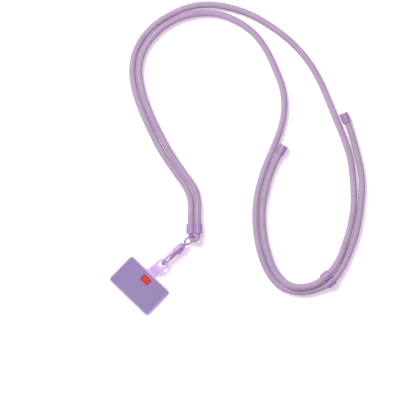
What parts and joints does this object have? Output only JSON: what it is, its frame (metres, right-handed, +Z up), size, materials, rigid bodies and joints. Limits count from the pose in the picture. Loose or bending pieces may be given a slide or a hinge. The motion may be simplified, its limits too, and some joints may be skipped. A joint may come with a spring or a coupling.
{
  "type": "phone crossbody strap",
  "caption": "Round knitted cord worn across the body: folded through a swivel snap hook, set by a slider, with a thin patch that goes under a cover.",
  "frame": {"origin": "middle of the tether patch's underside, on the surface that the strap lies on", "axes": "+Z up from the surface; the cord leaves the collar along +Y"},
  "size_m": [0.2751, 0.338, 0.0131],
  "materials": {
    "knitted_cord": "fine round knit, matt",
    "painted_metal": "lilac powder coat, satin",
    "moulded_plastic": "lilac, satin",
    "patch_sheet": "milky flexible sheet",
    "label_red": "plain red"
  },
  "bodies": {
    "strap": {"cord_collar": "moulded_plastic", "cord_fold": "knitted_cord", "neck_cord_outer": "knitted_cord", "neck_cord_inner": "knitted_cord", "slider": "moulded_plastic", "end_cap_a": "moulded_plastic", "end_cap_b": "moulded_plastic", "swivel_eye": "painted_metal"},
    "hook": {"snap_hook": "painted_metal", "lever_pin": "painted_metal", "tether_patch": "patch_sheet", "patch_label": "label_red"},
    "lever": {"hook_lever": "painted_metal"}
  },
  "joints": [
    {"name": "hook_swivel", "type": "hinge", "parent": "strap", "child": "hook", "pos_m": [0.02449, 0.02355, 0.00719], "axis": [0.749, 0.6626, 0], "continuous": true},
    {"name": "lever_hinge", "type": "hinge", "parent": "hook", "child": "lever", "pos_m": [0.04247, 0.03733, 0.00418], "axis": [-0.5851, 0.6613, -0.4695], "range_deg": [0, 22], "stiffness_Nm_per_rad": 0.03}
  ]
}
